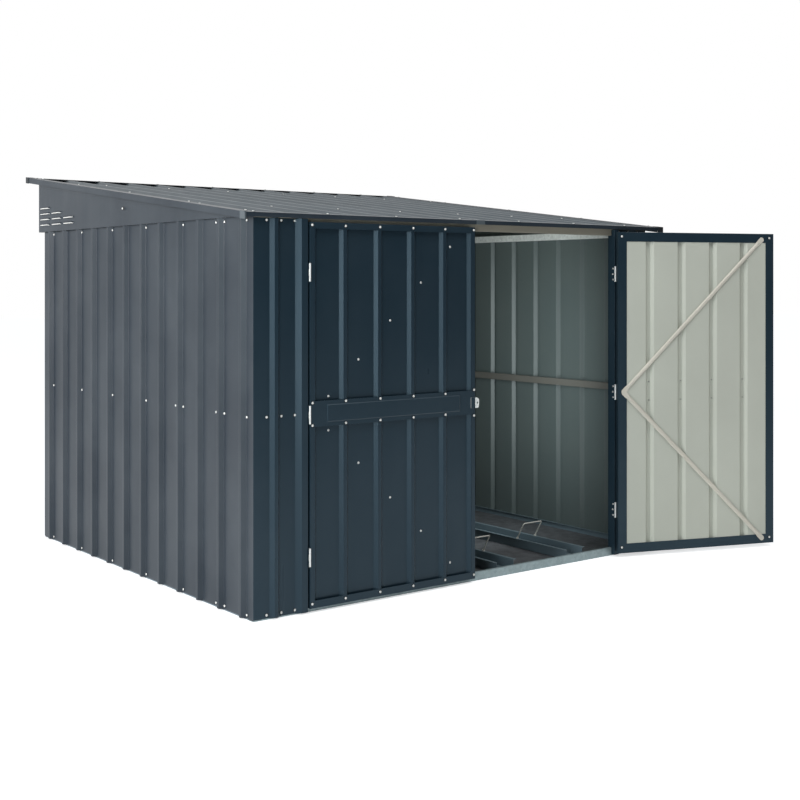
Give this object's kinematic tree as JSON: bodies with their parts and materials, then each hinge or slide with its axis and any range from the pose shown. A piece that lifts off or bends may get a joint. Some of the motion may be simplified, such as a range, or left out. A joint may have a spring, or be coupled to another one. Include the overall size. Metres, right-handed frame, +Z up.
{
  "type": "bike shed",
  "caption": "Ribbed sheet-steel bike shed with a single-slope roof high at the back, two outward-opening front doors with diagonal braces, gable louvres and floor wheel racks with wire hoops.",
  "frame": {"origin": "on the ground, under the middle of the front sill", "axes": "+X along the front to the open door's side, +Y from the front to the back, +Z up"},
  "size_m": [2.8416, 2.5161, 1.8425],
  "materials": {
    "wall_coat": "satin coil-coated steel, anthracite outside",
    "door_coat": "satin coil-coated steel, anthracite",
    "roof_coat": "satin coil-coated steel, anthracite",
    "trim_coat": "satin coil-coated steel, anthracite",
    "cap_plastic": "moulded dark plastic",
    "base_galvanised": "galvanised, dull",
    "rail_galvanised": "galvanised, dull",
    "brace_coat": "pale primer",
    "bright_zinc": "bright zinc plate",
    "rack_coat": "satin coil-coated steel",
    "floor": "matt, slightly worn"
  },
  "bodies": {
    "shed": {"front_sill": "base_galvanised", "left_base_rail": "wall_coat", "right_base_rail": "wall_coat", "back_base_rail": "wall_coat", "floor_panel": "floor", "left_corner_panel": "wall_coat", "right_corner_panel": "wall_coat", "left_jamb_post": "wall_coat", "right_jamb_post": "wall_coat", "left_wall": "wall_coat", "right_wall": "wall_coat", "back_wall": "wall_coat", "left_gable": "wall_coat", "right_gable": "wall_coat", "back_upper_panel": "wall_coat", "mid_rails": "wall_coat", "top_rails": "rail_galvanised", "lintel": "rail_galvanised", "roof_beam": "rail_galvanised", "roof_sheet_left": "roof_coat", "roof_sheet_middle": "roof_coat", "roof_sheet_right": "roof_coat", "roof_trim_left": "trim_coat", "roof_trim_right": "trim_coat", "roof_trim_back": "trim_coat", "roof_trim_front": "trim_coat", "roof_joint_cover": "trim_coat", "roof_corner_caps": "cap_plastic", "wheel_channels": "rack_coat", "wheel_hoops": "bright_zinc", "left_jamb_hinges": "bright_zinc", "right_jamb_hinges": "bright_zinc"},
    "left_door": {"left_door_frame": "door_coat", "left_door_sheet": "door_coat", "left_door_band": "door_coat", "left_door_braces": "brace_coat", "left_door_hasp": "bright_zinc", "left_door_hinges": "bright_zinc"},
    "right_door": {"right_door_frame": "door_coat", "right_door_sheet": "door_coat", "right_door_band": "door_coat", "right_door_braces": "brace_coat", "right_door_hasp": "bright_zinc", "right_door_hinges": "bright_zinc"}
  },
  "joints": [
    {"name": "left_door_hinge", "type": "hinge", "parent": "shed", "child": "left_door", "pos_m": [-0.8655, -0.0499, 0.78], "axis": [0, 0, -1], "range_deg": [0, 160.8]},
    {"name": "right_door_hinge", "type": "hinge", "parent": "shed", "child": "right_door", "pos_m": [0.8655, -0.0499, 0.78], "axis": [0, 0, 1], "range_deg": [-160.8, 0]}
  ]
}
